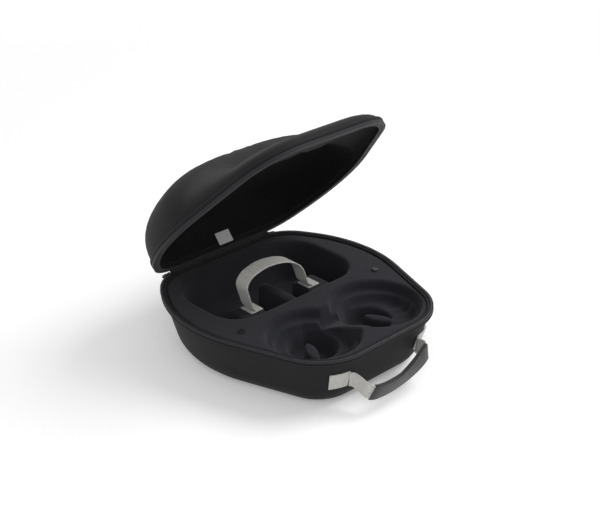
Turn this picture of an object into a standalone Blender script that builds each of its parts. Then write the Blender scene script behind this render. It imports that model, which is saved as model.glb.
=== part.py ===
"""Moulded zip case: a fabric-covered base and domed lid, a shaped tray, a strap and a webbing handle.

Metres, +Z up. The origin is on the flat underside of the base, the front (handle side) faces -Y and the
straight fabric hinge lies along X at the back. The lid is modelled shut and then turned open about the
hinge line, so every lid measure below is read with the case closed.
"""
import math

import bmesh
import bpy
from mathutils import Matrix, Vector

MM = 0.001

# Plan of the case, seen from above; the left half mirrors the right
CASE_WIDTH = 290 * MM
FRONT_REACH = 140 * MM
HINGE_REACH = 151 * MM
FRONT_SHOULDER = 100 * MM
FRONT_STRAIGHT = CASE_WIDTH - 2 * FRONT_SHOULDER
FRONT_CORNER_RADIUS = 70 * MM
FLANK_RADIUS = 160 * MM
WIDEST_Y = HINGE_REACH - 121 * MM
REAR_SHOULDER = 79 * MM
HINGE_STRAIGHT = CASE_WIDTH - 2 * REAR_SHOULDER
REAR_CORNER_RADIUS = 58 * MM

# Base shell
BASE_HEIGHT = 70 * MM
WALL_DRAFT = math.radians(15.0)
BOTTOM_RADIUS = 28 * MM
SHELL_INSET = 2.3 * MM
SHELL_WALL = 4 * MM
RIM_GAP = 2.2 * MM
FIT_GAP = 0.3 * MM

# Lid dome
LID_REAR_HEIGHT = 73 * MM
LID_FRONT_HEIGHT = 33 * MM
LID_STEP_FRONT_Y = -42 * MM
LID_STEP_REAR_Y = 16 * MM
LID_CENTRE_Y = 21 * MM
LID_FULLNESS = 2.8
LINING_WALL = 1.5 * MM
LINING_GAP = 1.1 * MM
LID_FOOT = 3.2 * MM
LID_OPEN = math.radians(46.5)

# Zip and hinge
ZIP_END = math.radians(80.0)
SLIDER_AT = math.radians(72.0)
HINGE_PANEL_DEPTH = 14 * MM
PULL_LENGTH = 22 * MM
PULL_WIDTH = 7 * MM
PIN_RADIUS = 0.8 * MM

# Tray
LAND_DROP = 2.8 * MM
HOLLOW_FRONT_Y = 2 * MM
HOLLOW_FRONT_RADIUS = 40 * MM
HOLLOW_REAR_RADIUS = 46 * MM
LEDGE_DROP = 19 * MM
RIDGE_DROP = 13 * MM
CUP_BACK_Y = -12 * MM
CUP_FRONT_LAND = 14 * MM
CUP_SIDE_LAND = 33 * MM
CUP_OVERLAP = 7 * MM
CUP_RADIUS = min(FRONT_REACH - CUP_FRONT_LAND + CUP_BACK_Y, CASE_WIDTH / 2 + CUP_OVERLAP / 2 - CUP_SIDE_LAND) / 2
CUP_CENTRE = Vector((CUP_RADIUS - CUP_OVERLAP, CUP_FRONT_LAND + CUP_RADIUS - FRONT_REACH))
SADDLE_RISE = math.radians(22.8)
SADDLE_DROP = 24.5 * MM
STUD_AT = Vector((CASE_WIDTH / 2 - 37.5 * MM, WIDEST_Y - 44 * MM))
STUD_RADIUS = 4 * MM

# Webbing
WEB_WIDTH = 20 * MM
WEB_THICK = 1.6 * MM
STRAP_Y = HOLLOW_FRONT_Y + 37 * MM
STRAP_PIVOT_Z = BASE_HEIGHT - 10 * MM
HANDLE_PATCH_Z = BASE_HEIGHT - 33 * MM
HANDLE_PATCH_FROM = math.radians(-79.0)
HANDLE_PATCH_TO = math.radians(-58.0)
HANDLE_ROOT_Y = 9.4 * MM - FRONT_REACH
HANDLE_HALF_SPAN = FRONT_STRAIGHT / 2 + 10.4 * MM
HANDLE_PIVOT = Vector((0.0, -FRONT_REACH - 6 * MM, HANDLE_PATCH_Z - 1 * MM))
GRIP_REACH = 45 * MM
GRIP_HEIGHT = 22.5 * MM
GRIP_THICK = 7 * MM
GRIP_GAP = 0.8 * MM

for stale in list(bpy.data.objects):
    bpy.data.objects.remove(stale, do_unlink=True)

case = bpy.data.collections.new("carrying_case")
cutters = bpy.data.collections.new("cutters")
bpy.context.scene.collection.children.link(case)
bpy.context.scene.collection.children.link(cutters)


def surface(name, colour, roughness, metallic=0.0):
    """One plain material, named for its piece."""
    made = bpy.data.materials.new(name)
    made.use_nodes = True
    shader = made.node_tree.nodes["Principled BSDF"]
    shader.inputs["Base Color"].default_value = (*colour, 1.0)
    shader.inputs["Roughness"].default_value = roughness
    shader.inputs["Metallic"].default_value = metallic
    return made


SHELL_CLOTH = ((0.018, 0.018, 0.020), 0.85)
TRAY_CLOTH = ((0.030, 0.031, 0.036), 0.90)
LINING_CLOTH = ((0.010, 0.010, 0.011), 0.92)
ZIP_CLOTH = ((0.040, 0.041, 0.045), 0.80)
PLASTIC_BLACK = ((0.012, 0.012, 0.013), 0.45)
WEBBING_GREY = ((0.42, 0.41, 0.39), 0.88)
GRIP_CLOTH = ((0.014, 0.014, 0.015), 0.80)
TAG_WEAVE = ((0.45, 0.45, 0.43), 0.85)
ZIP_METAL = ((0.05, 0.05, 0.055), 0.35, 0.9)


def finish(bm, name, look, home=case):
    """Turn a bmesh into a named, smooth-shaded object with its own material."""
    bmesh.ops.recalc_face_normals(bm, faces=bm.faces[:])
    mesh = bpy.data.meshes.new(name)
    bm.to_mesh(mesh)
    bm.free()
    made = bpy.data.objects.new(name, mesh)
    home.objects.link(made)
    if home is case:
        mesh.materials.append(surface(name, *look))
        mesh.shade_smooth()
    else:
        made.hide_render = True
        made.display_type = "WIRE"
    return made


def skin(rings, path_closed=False, caps=(True, True)):
    """Join rings of points, each with the same count, into one surface."""
    bm = bmesh.new()
    rows = [[bm.verts.new(point) for point in ring] for ring in rings]
    count = len(rows[0])
    pairs = list(zip(rows, rows[1:]))
    if path_closed:
        pairs.append((rows[-1], rows[0]))
    for near, far in pairs:
        for i in range(count):
            j = (i + 1) % count
            bm.faces.new((near[i], near[j], far[j], far[i]))
    if caps[0] and not path_closed:
        bm.faces.new(rows[0])
    if caps[1] and not path_closed:
        bm.faces.new(rows[-1])
    return bm


def boolean(target, tool, operation):
    """Cut or join another solid."""
    cut = target.modifiers.new(tool.name, "BOOLEAN")
    cut.object = tool
    cut.operation = operation
    cut.solver = "EXACT"


def solidify(target, thickness):
    """Thicken a skin inwards."""
    wall = target.modifiers.new("wall", "SOLIDIFY")
    wall.thickness = thickness
    wall.offset = -1.0
    wall.use_even_offset = True


def soften(target, width, segments=2):
    """Round the edges of a boxy piece."""
    bevel = target.modifiers.new("soft edges", "BEVEL")
    bevel.width = width
    bevel.segments = segments
    bevel.limit_method = "ANGLE"
    bevel.angle_limit = math.radians(40)


def box(name, low, high, look=None, home=cutters, place=Matrix.Identity(4)):
    """A block between two corners, set in the frame of a matrix."""
    bm = bmesh.new()
    bmesh.ops.create_cube(bm, size=1.0)
    low, high = Vector(low), Vector(high)
    bmesh.ops.scale(bm, vec=high - low, verts=bm.verts)
    bmesh.ops.translate(bm, vec=(low + high) / 2, verts=bm.verts)
    bm.transform(place)
    return finish(bm, name, look, home)


def rod(name, radius, length, place, look=None, home=cutters, sides=20):
    """A round bar along the X axis of a matrix, centred on it."""
    bm = bmesh.new()
    bmesh.ops.create_cone(bm, cap_ends=True, segments=sides, radius1=radius, radius2=radius, depth=length)
    bm.transform(place @ Matrix.Rotation(math.radians(90), 4, "Y"))
    return finish(bm, name, look, home)


def turned(name, profile, centre, steps=28):
    """A round cutter, spun from a half section listed from its top to its bottom."""
    bm = bmesh.new()
    line = [bm.verts.new((radius, 0.0, height)) for radius, height in profile]
    for near, far in zip(line, line[1:]):
        bm.edges.new((near, far))
    made = finish(bm, name, None, cutters)
    made.location = (centre.x, centre.y, 0.0)
    spin = made.modifiers.new("spin", "SCREW")
    spin.steps = steps
    spin.render_steps = steps
    spin.use_merge_vertices = True
    spin.merge_threshold = 1e-5
    return made


def pivot(name, at, turn=0.0):
    """An empty on a joint's axis, turned about X."""
    made = bpy.data.objects.new(name, None)
    made.location = at
    made.rotation_euler = (turn, 0.0, 0.0)
    made.empty_display_size = 0.02
    case.objects.link(made)
    return made


def hang(piece, axis):
    """Let a piece move with a pivot, keeping where it was modelled."""
    piece.parent = axis
    piece.matrix_parent_inverse = Matrix.Translation(-axis.location)


class Plan:
    """An outline of tangent arcs, mirrored about X = 0 and open along its straight back."""

    def __init__(self, arcs, steps):
        self.arcs = arcs
        breaks = [-math.pi / 2]
        for (ax, ay, ar), (bx, by, br) in zip(arcs, arcs[1:]):
            gap = math.hypot(bx - ax, by - ay)
            breaks.append(math.atan2(by - ay, bx - ax) - math.acos((ar - br) / gap))
        breaks.append(math.pi / 2)
        self.breaks = breaks
        self.steps = steps

    def stations(self, first=math.pi / 2):
        """Arc stations from the back on the right, round the front, to the back on the left."""
        right = []
        ends = self.breaks[:-1] + [first]
        for arc, low, high, count in zip(self.arcs, ends, ends[1:], self.steps):
            for i in range(count + 1):
                right.append((arc, low + (high - low) * i / count))
        right.reverse()
        left = [((-x, y, r), math.pi - angle) for (x, y, r), angle in reversed(right)]
        return right + left


def on_plan(station, inset, height):
    """The point at a station, an inset from the outline and a height."""
    (x, y, radius), angle = station
    reach = radius - inset
    return Vector((x + reach * math.cos(angle), y + reach * math.sin(angle), height))


RIM = Plan(
    [
        (FRONT_STRAIGHT / 2, FRONT_CORNER_RADIUS - FRONT_REACH, FRONT_CORNER_RADIUS),
        (CASE_WIDTH / 2 - FLANK_RADIUS, WIDEST_Y, FLANK_RADIUS),
        (HINGE_STRAIGHT / 2, HINGE_REACH - REAR_CORNER_RADIUS, REAR_CORNER_RADIUS),
    ],
    (7, 5, 6),
)
ALL_ROUND = RIM.stations()
ZIP_RUN = RIM.stations(ZIP_END)


def wall_inset(height):
    """How far the outside of the base wall lies inside the outline."""
    return SHELL_INSET + (BASE_HEIGHT - height) * math.tan(WALL_DRAFT)


def base_profile(depth, top):
    """Insets and heights down the base wall, a depth inside its outer face, to the flat bottom."""
    start = BOTTOM_RADIUS * (1 - math.sin(WALL_DRAFT))
    centre = wall_inset(start) + BOTTOM_RADIUS * math.cos(WALL_DRAFT)
    sideways = depth / math.cos(WALL_DRAFT)
    middle = (top + start) / 2
    rows = [(wall_inset(top) + sideways, top), (wall_inset(middle) + sideways, middle)]
    radius = BOTTOM_RADIUS - depth
    for i in range(6):
        angle = WALL_DRAFT + (math.pi / 2 - WALL_DRAFT) * i / 5
        rows.append((centre - radius * math.cos(angle), BOTTOM_RADIUS - radius * math.sin(angle)))
    return rows


def rings_down(plan, profile):
    """One closed ring of points for each inset and height."""
    return [[on_plan(s, inset, height) for s in plan] for inset, height in profile]


def rim_strip(name, section, look, run=ZIP_RUN, closed=False):
    """A strip carried round the rim; its section lists insets and heights from the parting plane."""
    rings = [[on_plan(s, inset, BASE_HEIGHT + height) for inset, height in section] for s in run]
    return finish(skin(rings, path_closed=closed), name, look)


def in_mm(pairs):
    """Pairs of millimetres, in metres."""
    return [(a * MM, b * MM) for a, b in pairs]


# Base shell, its piping and the base half of the zip
base_shell = finish(
    skin(rings_down(ALL_ROUND, base_profile(0.0, BASE_HEIGHT - RIM_GAP)), caps=(False, True)),
    "base_shell",
    SHELL_CLOTH,
)
solidify(base_shell, SHELL_WALL)
BASE_BEAD = in_mm([(0.6, -3.4), (0.0, -4.3), (0.0, -5.6), (0.6, -6.6), (3.2, -6.8), (2.5, -3.4)])
TAPE = [(0.3, 0.2), (0.3, 3.1), (1.5, 3.1), (1.5, 0.2)]
COIL = [(1.8, 0.6), (1.8, 1.5), (2.6, 1.9), (3.4, 1.5), (3.4, 0.6), (2.6, 0.2)]
rim_strip("base_binding", BASE_BEAD, SHELL_CLOTH)
rim_strip("base_zip_tape", in_mm([(a, -b) for a, b in TAPE]), ZIP_CLOTH)
rim_strip("base_zip_coil", in_mm([(a, -b) for a, b in COIL]), PLASTIC_BLACK)

# Hinge cloth, in two halves that meet on the hinge line
at_back = [s for s in RIM.stations() if abs(s[1] - math.pi / 2) < math.pi / 2 - ZIP_END]
back_run = [s for s in at_back if s[0][0] > 0][::-1] + [s for s in at_back if s[0][0] < 0][::-1]
deep = HINGE_PANEL_DEPTH
lean = deep * math.tan(WALL_DRAFT)
rim_strip(
    "hinge_panel_base",
    [(0.3 * MM, -0.2 * MM), (0.3 * MM + lean, -deep), (1.9 * MM + lean, -deep), (1.9 * MM, -0.2 * MM)],
    ZIP_CLOTH,
    back_run,
)
panel_lid = rim_strip(
    "hinge_panel_lid",
    [(0.3 * MM, 0.2 * MM), (0.4 * MM, deep), (2.0 * MM, deep), (1.9 * MM, 0.2 * MM)],
    ZIP_CLOTH,
    back_run,
)

# Tray: a block that fills the shell, then the rear hollow with its two ledges and centre ridge
LAND_Z = BASE_HEIGHT - LAND_DROP
tray = finish(
    skin(rings_down(ALL_ROUND, base_profile(SHELL_WALL + FIT_GAP, LAND_Z))),
    "tray_insert",
    TRAY_CLOTH,
)
HOLLOW = Plan(
    [
        (HINGE_STRAIGHT / 2, HOLLOW_FRONT_Y + HOLLOW_FRONT_RADIUS, HOLLOW_FRONT_RADIUS),
        (HINGE_STRAIGHT / 2 - 6 * MM, HINGE_REACH - 23 * MM - HOLLOW_REAR_RADIUS, HOLLOW_REAR_RADIUS),
    ],
    (8, 8),
)
HOLLOW_PROFILE = [
    (-1.2, 1.0), (0.0, -2.8), (2.2, -4.6), (3.6, -8.5), (8.5, -40.0), (11.0, -45.5), (15.5, -49.0), (22.0, -50.0),
]
hollow = finish(
    skin(rings_down(HOLLOW.stations(), [(a, BASE_HEIGHT + b) for a, b in in_mm(HOLLOW_PROFILE)])),
    "rear_hollow",
    None,
    cutters,
)
boolean(tray, hollow, "DIFFERENCE")
ledge_z = BASE_HEIGHT - LEDGE_DROP
foot_y = HOLLOW_FRONT_Y - 6 * MM
foot_z = BASE_HEIGHT - 54 * MM
for side, sign in (("left", -1), ("right", 1)):
    span = sorted((sign * 34 * MM, sign * 70 * MM))
    ledge = box(f"ledge_{side}", (span[0], foot_y, foot_z), (span[1], STRAP_Y + 19 * MM, ledge_z))
    soften(ledge, 5 * MM)
    boolean(tray, ledge, "UNION")
ridge = box("centre_ridge", (-9 * MM, foot_y, foot_z), (9 * MM, STRAP_Y + 35 * MM, BASE_HEIGHT - RIDGE_DROP))
soften(ridge, 7 * MM)
boolean(tray, ridge, "UNION")

# Front cups: a wide bowl, a deeper one a little forward of it that leaves a crescent ledge behind, and a well
# Each section lists insets from the cup's edge and heights from the rim
BOWL = [(-2, 2), (0, -2.8), (2.2, -4.6), (3.4, -8), (4.5, -13.5), (6.5, -15.5)]
DEEP_BOWL = [(9.8, -14), (10.8, -16.8), (11.8, -19.5), (13.5, -23.5), (16.5, -26)]
WELL = [(26, -25), (27.2, -27.5), (28.2, -31), (30.5, -43), (35, -47)]
DEEP_BOWL_SHIFT = Vector((1, -3)) * MM
WELL_SHIFT = Vector((-6, 7)) * MM
PAD_SHIFT = Vector((4, -2)) * MM
PAD_LENGTH = 0.74 * CUP_RADIUS
PAD_WIDTH = 0.28 * CUP_RADIUS
PAD_DROP = 23.5 * MM
PAD_TURN = math.radians(-63.5)


def cup_cutter(name, section, shift, sign):
    """A round cutter for one level of a cup, closed on its axis."""
    rows = [(CUP_RADIUS - inset, BASE_HEIGHT + height) for inset, height in in_mm(section)]
    rows = [(0.0, rows[0][1]), *rows, (0.0, rows[-1][1])]
    return turned(name, rows, (CUP_CENTRE + shift) * Vector((sign, 1.0)))


for side, sign in (("left", -1), ("right", 1)):
    boolean(tray, cup_cutter(f"bowl_{side}", BOWL, Vector((0.0, 0.0)), sign), "DIFFERENCE")
    boolean(tray, cup_cutter(f"deep_bowl_{side}", DEEP_BOWL, DEEP_BOWL_SHIFT, sign), "DIFFERENCE")
    boolean(tray, cup_cutter(f"well_{side}", WELL, WELL_SHIFT, sign), "DIFFERENCE")

# Leaf-shaped pad that stands in each well
for side, sign in (("left", -1), ("right", 1)):
    bm = bmesh.new()
    height = BASE_HEIGHT - PAD_DROP - foot_z
    bmesh.ops.create_cone(bm, cap_ends=True, segments=20, radius1=0.5, radius2=0.42, depth=height)
    bmesh.ops.scale(bm, vec=(PAD_LENGTH, PAD_WIDTH, 1.0), verts=bm.verts)
    at = CUP_CENTRE + PAD_SHIFT
    place = Matrix.Translation((sign * at.x, at.y, foot_z + height / 2))
    bm.transform(place @ Matrix.Rotation(sign * PAD_TURN + (math.pi if sign < 0 else 0.0), 4, "Z"))
    pad = finish(bm, f"leaf_pad_{side}", None, cutters)
    soften(pad, 2.5 * MM)
    boolean(tray, pad, "UNION")

# Saddle between the cups: the wall is cut away above a ramp that climbs to the front, and a soft crest fills it
saddle_back = CUP_CENTRE.y + 26 * MM
climb = Matrix.Translation((0.0, saddle_back, BASE_HEIGHT - SADDLE_DROP)) @ Matrix.Rotation(-SADDLE_RISE, 4, "X")
notch = box("saddle_notch", (-16 * MM, -62 * MM, 0.0), (16 * MM, 0.0, 40 * MM), place=climb)
soften(notch, 4 * MM)
boolean(tray, notch, "DIFFERENCE")
CREST = [(-13, -16), (-4, -1.5), (0, 0), (4, -1.5), (13, -16)]
rings = [[climb @ Vector((a, y, b)) for a, b in in_mm(CREST)] for y in (6 * MM, -66 * MM)]
crest = finish(skin(rings), "saddle_crest", None, cutters)
boolean(tray, crest, "UNION")
for side, sign in (("left", -1), ("right", 1)):
    seat = Matrix.Translation((sign * STUD_AT.x, STUD_AT.y, LAND_Z + FIT_GAP + 1.0 * MM))
    upright = seat @ Matrix.Rotation(math.radians(-90), 4, "Y")
    stud = rod(f"wing_stud_{side}", STUD_RADIUS, 2 * MM, upright, PLASTIC_BLACK, case)
    soften(stud, 0.6 * MM)


def smooth_path(points, per_span=4):
    """Points on a smooth curve through a short list of them."""
    path = []
    padded = [points[0] * 2 - points[1], *points, points[-1] * 2 - points[-2]]
    for a, b, c, d in zip(padded, padded[1:], padded[2:], padded[3:]):
        for i in range(per_span):
            t = i / per_span
            curve = (c - a) * t + (2 * a - 5 * b + 4 * c - d) * t * t + (3 * b - a - 3 * c + d) * t ** 3
            path.append(b + curve / 2)
    path.append(points[-1])
    return path


def ribbon(path, wide_way, width, thick, chamfer=0.0):
    """Rectangular sections along a path; wide_way gives the way a section's width should lie at a point."""
    corners = [(1, 1), (1, -1), (-1, -1), (-1, 1)]
    section = [(a * width / 2, b * thick / 2) for a, b in corners]
    if chamfer:
        section = []
        for a, b in corners:
            on_edge = (a * width / 2, b * (thick / 2 - chamfer))
            on_face = (a * (width / 2 - chamfer), b * thick / 2)
            section += [on_face, on_edge] if a == b else [on_edge, on_face]
    rings = []
    for i, point in enumerate(path):
        along = (path[min(i + 1, len(path) - 1)] - path[max(i - 1, 0)]).normalized()
        up = wide_way(point)
        wide = (up - along * up.dot(along)).normalized()
        flat = along.cross(wide)
        rings.append([point + wide * a + flat * b for a, b in section])
    return rings


def cut_short(path, amount):
    """A path with its first point moved along it by a small amount."""
    shift = (path[1] - path[0]).normalized() * amount
    return [path[0] + shift, *path[1:]]


def across_strap(point):
    """The strap's width runs front to back all along."""
    return Vector((0.0, 1.0, 0.0))


def up_handle(point):
    """The handle's width stands upright on the left and lies over as the slack grip rolls to the right."""
    reach = (point.x + 40 * MM) / (85 * MM)
    roll = math.radians(55) * min(max(reach, 0.0), 1.0)
    near_wall = (HANDLE_PIVOT.y + 2 * MM - point.y) / (HANDLE_PIVOT.y + 2 * MM - HANDLE_ROOT_Y)
    at_wall = min(max(near_wall, 0.0), 1.0)
    lean = roll * (1 - at_wall) - WALL_DRAFT * at_wall
    return Vector((0.0, math.sin(lean), math.cos(lean)))


# Hold-down strap: sewn ends on the ledges, short tails, and a stiff arch that leans to the left
strap_axis = pivot("strap_axis", Vector((0.0, STRAP_Y, STRAP_PIVOT_Z)))
# Points across the case and up from the ledges
STRAP_LINE = [
    (-48.5, 2.6), (-51, 5.5), (-53, 9), (-59, 28), (-60.5, 38), (-54, 47), (-42, 51.5), (-27, 53.5),
    (-8, 51.5), (8, 46.5), (20, 39), (28.5, 29), (36, 9), (40, 5.5), (44, 2.6),
]
strap_line = [Vector((a, STRAP_Y, ledge_z + b)) for a, b in in_mm(STRAP_LINE)]
strap_path = smooth_path(strap_line)
low_ends = 2 * 4
tails = {"left": strap_path[: low_ends + 1][::-1], "right": strap_path[-low_ends - 1 :]}
arch = strap_path[low_ends:-low_ends]
arch = cut_short(cut_short(arch, FIT_GAP)[::-1], FIT_GAP)
strap = finish(skin(ribbon(arch, across_strap, WEB_WIDTH, WEB_THICK)), "hold_down_strap", WEBBING_GREY)
hang(strap, strap_axis)
for side, sign in (("left", -1), ("right", 1)):
    tail = finish(
        skin(ribbon(tails[side], across_strap, WEB_WIDTH, WEB_THICK)), f"strap_tail_{side}", WEBBING_GREY
    )
    seat = ledge_z + FIT_GAP
    span = sorted((sign * 37 * MM, sign * 55 * MM))
    patch = box(
        f"strap_patch_{side}",
        (span[0], STRAP_Y - WEB_WIDTH / 2, seat),
        (span[1], STRAP_Y + WEB_WIDTH / 2, seat + WEB_THICK),
        WEBBING_GREY,
        case,
    )

# Handle: box-stitched ends on the front wall, webbing that bows out and down, and a folded grip sleeve
handle_axis = pivot("handle_axis", HANDLE_PIVOT)
# Points across the span, out from the front of the case, and up from the middle of the sewn ends
HANDLE_LINE = [
    (55.4, -9.4, -0.4), (52.0, -6.6, -0.3), (49.5, -1.0, 1.0), (48.5, 6.0, 3.0), (46.0, 11.5, 4.0), (39.5, 15.0, 2.0),
    (22.0, 16.5, -6.0), (0.0, 16.5, -13.0), (-24.0, 17.0, -13.5), (-40.0, 16.5, -11.5), (-47.5, 13.0, -9.0),
    (-50.0, 6.0, -5.0), (-51.0, -1.0, -2.0), (-52.5, -6.6, -0.6), (-55.4, -9.4, -0.4),
]
spread = HANDLE_HALF_SPAN / HANDLE_LINE[0][0]
handle_line = [Vector((a * spread, -FRONT_REACH - b * MM, HANDLE_PATCH_Z + c * MM)) for a, b, c in HANDLE_LINE]
handle_path = smooth_path(handle_line, 6)
low_ends = 3 * 6
tails = {"right": handle_path[: low_ends + 1], "left": handle_path[-low_ends - 1 :]}
bow = handle_path[low_ends:-low_ends]
bow = cut_short(cut_short(bow, 2 * FIT_GAP)[::-1], 2 * FIT_GAP)
webbing = finish(skin(ribbon(bow, up_handle, WEB_WIDTH, WEB_THICK)), "handle_webbing", WEBBING_GREY)
hang(webbing, handle_axis)
inner = ribbon(bow, up_handle, WEB_WIDTH + 2 * GRIP_GAP, WEB_THICK + 2 * GRIP_GAP, FIT_GAP)
outer = ribbon(bow, up_handle, GRIP_HEIGHT, GRIP_THICK, 2 * MM)
in_grip = [i for i, point in enumerate(bow) if abs(point.x) <= GRIP_REACH]
inner = inner[in_grip[0] : in_grip[-1] + 1]
outer = outer[in_grip[0] : in_grip[-1] + 1]
# Out along the outside and back through the hole, so both ends close as rims
sleeve = skin(outer + inner[::-1], path_closed=True)
grip = finish(sleeve, "grip_sleeve", GRIP_CLOTH)
hang(grip, handle_axis)
for side, sign in (("left", -1), ("right", 1)):
    tail = finish(skin(ribbon(tails[side], up_handle, WEB_WIDTH, WEB_THICK)), f"handle_tail_{side}", WEBBING_GREY)
    corner = RIM.arcs[0]
    rings = []
    for i in range(7):
        angle = HANDLE_PATCH_FROM + (HANDLE_PATCH_TO - HANDLE_PATCH_FROM) * i / 6
        ring = []
        for height, lift in ((11, 1.9), (11, 0.3), (-11, 0.3), (-11, 1.9)):
            z = HANDLE_PATCH_Z + height * MM
            point = on_plan((corner, angle), wall_inset(z) - lift * MM / math.cos(WALL_DRAFT), z)
            ring.append(Vector((sign * point.x, point.y, point.z)))
        rings.append(ring)
    finish(skin(rings), f"handle_patch_{side}", WEBBING_GREY)

# Zip sliders on the outside of the rim, each with a pin that its pull hangs from
for side, sign in (("left", -1), ("right", 1)):
    at = on_plan((RIM.arcs[-1], SLIDER_AT), -FIT_GAP, BASE_HEIGHT)
    out = Vector((sign * math.cos(SLIDER_AT), math.sin(SLIDER_AT), 0.0))
    place = Matrix.Translation((sign * at.x, at.y, at.z)) @ Matrix.Rotation(
        math.atan2(out.y, out.x) - math.pi / 2, 4, "Z"
    )
    slider = box(
        f"zip_slider_{side}",
        (-5.5 * MM, 0.0, -7.5 * MM),
        (5.5 * MM, 2.8 * MM, -0.4 * MM),
        ZIP_METAL,
        case,
        place,
    )
    soften(slider, 0.7 * MM)
    for number, low in enumerate((-3.2, 2.0), 1):
        ear = box(
            f"ear_{side}_{number}",
            (low * MM, 2.0 * MM, -6.0 * MM),
            ((low + 1.2) * MM, 6.4 * MM, -2.6 * MM),
            place=place,
        )
        boolean(slider, ear, "UNION")
    hook = place @ Matrix.Translation((0.0, 5.1 * MM, -4.3 * MM))
    pin = rod(f"pin_{side}", PIN_RADIUS, 5.6 * MM, hook)
    boolean(slider, pin, "UNION")

    axis = pivot(f"{side}_pull_axis", hook.translation)
    pull = box(
        f"zip_pull_{side}",
        (-PULL_WIDTH / 2, -0.75 * MM, -PULL_LENGTH - 2 * MM),
        (PULL_WIDTH / 2, 0.75 * MM, -4 * MM),
        ZIP_METAL,
        case,
        hook,
    )
    soften(pull, 0.6 * MM)
    neck = box(f"neck_{side}", (-1.5 * MM, -0.7 * MM, -6 * MM), (1.5 * MM, 0.7 * MM, -0.8 * MM), place=hook)
    boss = rod(f"boss_{side}", 1.9 * MM, 3.2 * MM, hook)
    eye = rod(f"eye_{side}", PIN_RADIUS + FIT_GAP, 6 * MM, hook)
    boolean(pull, neck, "UNION")
    boolean(pull, boss, "UNION")
    boolean(pull, eye, "DIFFERENCE")
    hang(pull, axis)

# Lid, modelled shut and turned open about the hinge line
lid_axis = pivot("lid_axis", Vector((0.0, HINGE_REACH, BASE_HEIGHT)), -LID_OPEN)


def lid_height(y):
    """Height of the dome over the parting plane: high at the rear, stepping down to the front lobe."""
    t = (y - LID_STEP_FRONT_Y) / (LID_STEP_REAR_Y - LID_STEP_FRONT_Y)
    t = min(max(t, 0.0), 1.0)
    return LID_FRONT_HEIGHT + (LID_REAR_HEIGHT - LID_FRONT_HEIGHT) * t * t * (3 - 2 * t)


def dome(first):
    """The outer skin of the lid, from its foot, a few degrees up from the rim, to its top."""
    rings = []
    for degrees in (first, 8, 16, 25, 34, 43, 52, 61, 70, 79, 86, 89):
        angle = math.radians(degrees)
        shrink = math.cos(angle) ** (2 / LID_FULLNESS)
        rise = math.sin(angle) ** (2 / LID_FULLNESS)
        ring = []
        for station in ALL_ROUND:
            point = on_plan(station, SHELL_INSET, 0.0)
            y = LID_CENTRE_Y + (point.y - LID_CENTRE_Y) * shrink
            height = LID_FOOT + (lid_height(y) - LID_FOOT) * rise
            ring.append(Vector((point.x * shrink, y, BASE_HEIGHT + height)))
        rings.append(ring)
    return skin(rings, caps=(False, True))


lid_shell = finish(dome(0.0), "lid_shell", SHELL_CLOTH)
solidify(lid_shell, SHELL_WALL)
lid_lining = finish(dome(1.5), "lid_lining", LINING_CLOTH)
inward = lid_lining.modifiers.new("inside the shell", "DISPLACE")
inward.strength = -(SHELL_WALL + LINING_GAP)
inward.mid_level = 0.0
solidify(lid_lining, LINING_WALL)
LID_BEAD = in_mm([(0.6, 4.6), (0.0, 5.5), (0.0, 7.5), (0.6, 8.5), (2.1, 8.6), (2.0, 4.6)])
lid_binding = rim_strip("lid_binding", LID_BEAD, SHELL_CLOTH)
lid_zip_tape = rim_strip("lid_zip_tape", in_mm([(a, b * 1.35) for a, b in TAPE]), ZIP_CLOTH)
lid_zip_coil = rim_strip("lid_zip_coil", in_mm(COIL), PLASTIC_BLACK)
lid_edge_tape = rim_strip(
    "lid_edge_tape", in_mm([(3.7, 0.6), (3.7, 1.9), (9.0, 1.9), (9.0, 0.6)]), ZIP_CLOTH, ALL_ROUND, True
)
lid_tag = box(
    "lid_tag",
    (-11.5 * MM, -0.8 * MM, -8 * MM),
    (11.5 * MM, 0.0, 8 * MM),
    TAG_WEAVE,
    case,
    Matrix.Translation((9 * MM, HINGE_REACH - 10.4 * MM, BASE_HEIGHT + 12.6 * MM))
    @ Matrix.Rotation(math.radians(6.3), 4, "X"),
)
for piece in (
    lid_shell, lid_lining, lid_binding, lid_zip_tape, lid_zip_coil, lid_edge_tape, lid_tag, panel_lid,
):
    hang(piece, lid_axis)
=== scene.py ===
# %% [markdown]
# # A moulded zip case, dressed for its portrait
#
# The case is a pair of moulded foam shells covered in black cloth. They are joined by a cloth hinge at the
# straight back, and a zip closes them all round. Inside sits a moulded tray with a rear hollow, a grey
# webbing strap over it, and two stepped round cups in front. This lesson rebuilds each visible piece over a
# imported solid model, gives it a finish made of shader nodes, and lights it like a catalogue picture.

# %% Load the solid model as a fixed frame
import math

import bmesh
import bpy
from mathutils import Matrix, Vector


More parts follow.
